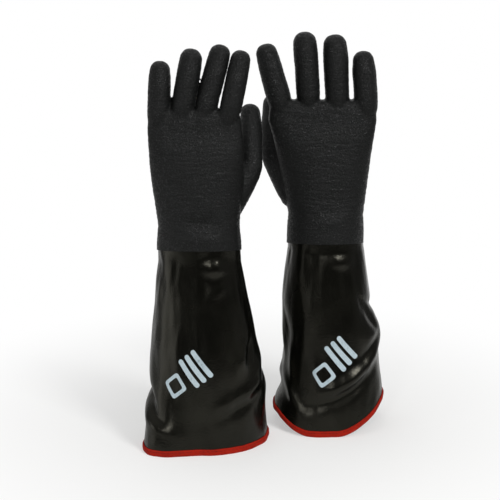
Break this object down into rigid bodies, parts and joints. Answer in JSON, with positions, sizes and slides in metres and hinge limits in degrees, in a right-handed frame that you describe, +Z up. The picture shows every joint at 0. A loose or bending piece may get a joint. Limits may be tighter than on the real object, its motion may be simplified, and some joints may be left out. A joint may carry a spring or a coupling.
{
  "type": "cryogenic gloves",
  "caption": "Long insulated gauntlets with a rough coated hand, curling fingers, a smooth flared sleeve and a bound hem.",
  "frame": {"origin": "on the standing plane, at the bottom middle of the pair's box", "axes": "+Z up along the fingers, +X to the right glove with the backs of the hands seen from the front, +Y to the palms"},
  "size_m": [0.2866, 0.1829, 0.464],
  "materials": {
    "rough_coating": "matte, grainy",
    "smooth_coating": "glossy, soft folds",
    "knit_liner": "brushed knit",
    "cotton_lining": "plain weave",
    "binding_tape": "woven tape",
    "thread": "twisted thread"
  },
  "bodies": {
    "left_gauntlet": {"left_gauntlet": "smooth_coating", "left_gauntlet_lining": "cotton_lining", "left_cuff_binding": "binding_tape", "left_binding_stitching": "thread", "left_wrist_lap": "rough_coating", "left_wrist_flex": "rough_coating", "left_wrist_flex_liner": "knit_liner"},
    "left_hand": {"left_palm_shell": "rough_coating", "left_palm_liner": "knit_liner"},
    "left_thumb_base": {"left_thumb_base_shell": "rough_coating", "left_thumb_base_liner": "knit_liner"},
    "left_thumb_tip": {"left_thumb_tip_shell": "rough_coating", "left_thumb_tip_liner": "knit_liner"},
    "left_index_base": {"left_index_base_shell": "rough_coating", "left_index_base_liner": "knit_liner"},
    "left_index_tip": {"left_index_tip_shell": "rough_coating", "left_index_tip_liner": "knit_liner"},
    "left_middle_base": {"left_middle_base_shell": "rough_coating", "left_middle_base_liner": "knit_liner"},
    "left_middle_tip": {"left_middle_tip_shell": "rough_coating", "left_middle_tip_liner": "knit_liner"},
    "left_ring_base": {"left_ring_base_shell": "rough_coating", "left_ring_base_liner": "knit_liner"},
    "left_ring_tip": {"left_ring_tip_shell": "rough_coating", "left_ring_tip_liner": "knit_liner"},
    "left_little_base": {"left_little_base_shell": "rough_coating", "left_little_base_liner": "knit_liner"},
    "left_little_tip": {"left_little_tip_shell": "rough_coating", "left_little_tip_liner": "knit_liner"},
    "right_gauntlet": {"right_gauntlet": "smooth_coating", "right_gauntlet_lining": "cotton_lining", "right_cuff_binding": "binding_tape", "right_binding_stitching": "thread", "right_wrist_lap": "rough_coating", "right_wrist_flex": "rough_coating", "right_wrist_flex_liner": "knit_liner"},
    "right_hand": {"right_palm_shell": "rough_coating", "right_palm_liner": "knit_liner"},
    "right_thumb_base": {"right_thumb_base_shell": "rough_coating", "right_thumb_base_liner": "knit_liner"},
    "right_thumb_tip": {"right_thumb_tip_shell": "rough_coating", "right_thumb_tip_liner": "knit_liner"},
    "right_index_base": {"right_index_base_shell": "rough_coating", "right_index_base_liner": "knit_liner"},
    "right_index_tip": {"right_index_tip_shell": "rough_coating", "right_index_tip_liner": "knit_liner"},
    "right_middle_base": {"right_middle_base_shell": "rough_coating", "right_middle_base_liner": "knit_liner"},
    "right_middle_tip": {"right_middle_tip_shell": "rough_coating", "right_middle_tip_liner": "knit_liner"},
    "right_ring_base": {"right_ring_base_shell": "rough_coating", "right_ring_base_liner": "knit_liner"},
    "right_ring_tip": {"right_ring_tip_shell": "rough_coating", "right_ring_tip_liner": "knit_liner"},
    "right_little_base": {"right_little_base_shell": "rough_coating", "right_little_base_liner": "knit_liner"},
    "right_little_tip": {"right_little_tip_shell": "rough_coating", "right_little_tip_liner": "knit_liner"}
  },
  "joints": [
    {"name": "left_wrist_bend", "type": "hinge", "parent": "left_gauntlet", "child": "left_hand", "pos_m": [-0.069, -0.0322, 0.251], "axis": [-1, 0, 0], "range_deg": [-25, 25], "stiffness_Nm_per_rad": 3, "deforming": ["left_wrist_flex", "left_wrist_flex_liner"]},
    {"name": "left_thumb_bend", "type": "hinge", "parent": "left_hand", "child": "left_thumb_base", "pos_m": [-0.0165, -0.0122, 0.318], "axis": [-0.9254, -0.3368, 0.1736], "range_deg": [-10, 50], "stiffness_Nm_per_rad": 0.3},
    {"name": "left_thumb_curl", "type": "hinge", "parent": "left_thumb_base", "child": "left_thumb_tip", "pos_m": [-0.01662, 0.00455, 0.34986], "axis": [-0.9254, -0.3368, 0.1736], "range_deg": [-11, 55], "stiffness_Nm_per_rad": 0.1},
    {"name": "left_index_bend", "type": "hinge", "parent": "left_hand", "child": "left_index_base", "pos_m": [-0.0381, -0.0322, 0.388], "axis": [-0.9836, 0, 0.1805], "range_deg": [-10, 50], "stiffness_Nm_per_rad": 0.3},
    {"name": "left_index_curl", "type": "hinge", "parent": "left_index_base", "child": "left_index_tip", "pos_m": [-0.03248, -0.02782, 0.41862], "axis": [-0.9836, 0, 0.1805], "range_deg": [-11, 55], "stiffness_Nm_per_rad": 0.1},
    {"name": "left_middle_bend", "type": "hinge", "parent": "left_hand", "child": "left_middle_base", "pos_m": [-0.0647, -0.0322, 0.392], "axis": [-0.9759, 0, 0.2181], "range_deg": [-10, 50], "stiffness_Nm_per_rad": 0.3},
    {"name": "left_middle_curl", "type": "hinge", "parent": "left_middle_base", "child": "left_middle_tip", "pos_m": [-0.05765, -0.02766, 0.42354], "axis": [-0.9759, 0, 0.2181], "range_deg": [-11, 55], "stiffness_Nm_per_rad": 0.1},
    {"name": "left_ring_bend", "type": "hinge", "parent": "left_hand", "child": "left_ring_base", "pos_m": [-0.0913, -0.0322, 0.39], "axis": [-0.9829, 0, 0.184], "range_deg": [-10, 50], "stiffness_Nm_per_rad": 0.3},
    {"name": "left_ring_curl", "type": "hinge", "parent": "left_ring_base", "child": "left_ring_tip", "pos_m": [-0.08566, -0.02789, 0.42014], "axis": [-0.9829, 0, 0.184], "range_deg": [-11, 55], "stiffness_Nm_per_rad": 0.1},
    {"name": "left_little_bend", "type": "hinge", "parent": "left_hand", "child": "left_little_base", "pos_m": [-0.1179, -0.0322, 0.382], "axis": [-0.9991, 0, 0.0419], "range_deg": [-10, 50], "stiffness_Nm_per_rad": 0.3},
    {"name": "left_little_curl", "type": "hinge", "parent": "left_little_base", "child": "left_little_tip", "pos_m": [-0.11674, -0.02829, 0.40978], "axis": [-0.9991, 0, 0.0419], "range_deg": [-11, 55], "stiffness_Nm_per_rad": 0.1},
    {"name": "right_glove_slide", "type": "slide", "parent": "left_gauntlet", "child": "right_gauntlet", "axis": [1, 0, 0], "range_m": [0, 0.25]},
    {"name": "right_wrist_bend", "type": "hinge", "parent": "right_gauntlet", "child": "right_hand", "pos_m": [0.076, 0.0258, 0.251], "axis": [-1, 0, 0], "range_deg": [-25, 25], "stiffness_Nm_per_rad": 3, "deforming": ["right_wrist_flex", "right_wrist_flex_liner"]},
    {"name": "right_thumb_bend", "type": "hinge", "parent": "right_hand", "child": "right_thumb_base", "pos_m": [0.01, 0.0458, 0.318], "axis": [-0.9254, 0.3368, -0.1736], "range_deg": [-10, 50], "stiffness_Nm_per_rad": 0.3},
    {"name": "right_thumb_curl", "type": "hinge", "parent": "right_thumb_base", "child": "right_thumb_tip", "pos_m": [0.01012, 0.06255, 0.34986], "axis": [-0.9254, 0.3368, -0.1736], "range_deg": [-11, 55], "stiffness_Nm_per_rad": 0.1},
    {"name": "right_index_bend", "type": "hinge", "parent": "right_hand", "child": "right_index_base", "pos_m": [0.0165, 0.0258, 0.388], "axis": [-0.9613, 0, -0.2756], "range_deg": [-10, 50], "stiffness_Nm_per_rad": 0.3},
    {"name": "right_index_curl", "type": "hinge", "parent": "right_index_base", "child": "right_index_tip", "pos_m": [0.00792, 0.02798, 0.41792], "axis": [-0.9613, 0, -0.2756], "range_deg": [-11, 55], "stiffness_Nm_per_rad": 0.1},
    {"name": "right_middle_bend", "type": "hinge", "parent": "right_hand", "child": "right_middle_base", "pos_m": [0.0495, 0.0258, 0.392], "axis": [-0.9973, 0, -0.0732], "range_deg": [-10, 50], "stiffness_Nm_per_rad": 0.3},
    {"name": "right_middle_curl", "type": "hinge", "parent": "right_middle_base", "child": "right_middle_tip", "pos_m": [0.04696, 0.02823, 0.42662], "axis": [-0.9973, 0, -0.0732], "range_deg": [-11, 55], "stiffness_Nm_per_rad": 0.1},
    {"name": "right_ring_bend", "type": "hinge", "parent": "right_hand", "child": "right_ring_base", "pos_m": [0.0825, 0.0258, 0.39], "axis": [-0.9984, 0, -0.0558], "range_deg": [-10, 50], "stiffness_Nm_per_rad": 0.3},
    {"name": "right_ring_curl", "type": "hinge", "parent": "right_ring_base", "child": "right_ring_tip", "pos_m": [0.08058, 0.02821, 0.42442], "axis": [-0.9984, 0, -0.0558], "range_deg": [-11, 55], "stiffness_Nm_per_rad": 0.1},
    {"name": "right_little_bend", "type": "hinge", "parent": "right_hand", "child": "right_little_base", "pos_m": [0.1155, 0.0258, 0.382], "axis": [-0.9971, 0, -0.0767], "range_deg": [-10, 50], "stiffness_Nm_per_rad": 0.3},
    {"name": "right_little_curl", "type": "hinge", "parent": "right_little_base", "child": "right_little_tip", "pos_m": [0.11326, 0.02784, 0.41112], "axis": [-0.9971, 0, -0.0767], "range_deg": [-11, 55], "stiffness_Nm_per_rad": 0.1}
  ],
  "couplings": [
    {"joint": "left_thumb_curl", "follows": "left_thumb_bend", "ratio": 1.1},
    {"joint": "left_index_curl", "follows": "left_index_bend", "ratio": 1.1},
    {"joint": "left_middle_curl", "follows": "left_middle_bend", "ratio": 1.1},
    {"joint": "left_ring_curl", "follows": "left_ring_bend", "ratio": 1.1},
    {"joint": "left_little_curl", "follows": "left_little_bend", "ratio": 1.1},
    {"joint": "right_thumb_curl", "follows": "right_thumb_bend", "ratio": 1.1},
    {"joint": "right_index_curl", "follows": "right_index_bend", "ratio": 1.1},
    {"joint": "right_middle_curl", "follows": "right_middle_bend", "ratio": 1.1},
    {"joint": "right_ring_curl", "follows": "right_ring_bend", "ratio": 1.1},
    {"joint": "right_little_curl", "follows": "right_little_bend", "ratio": 1.1}
  ]
}
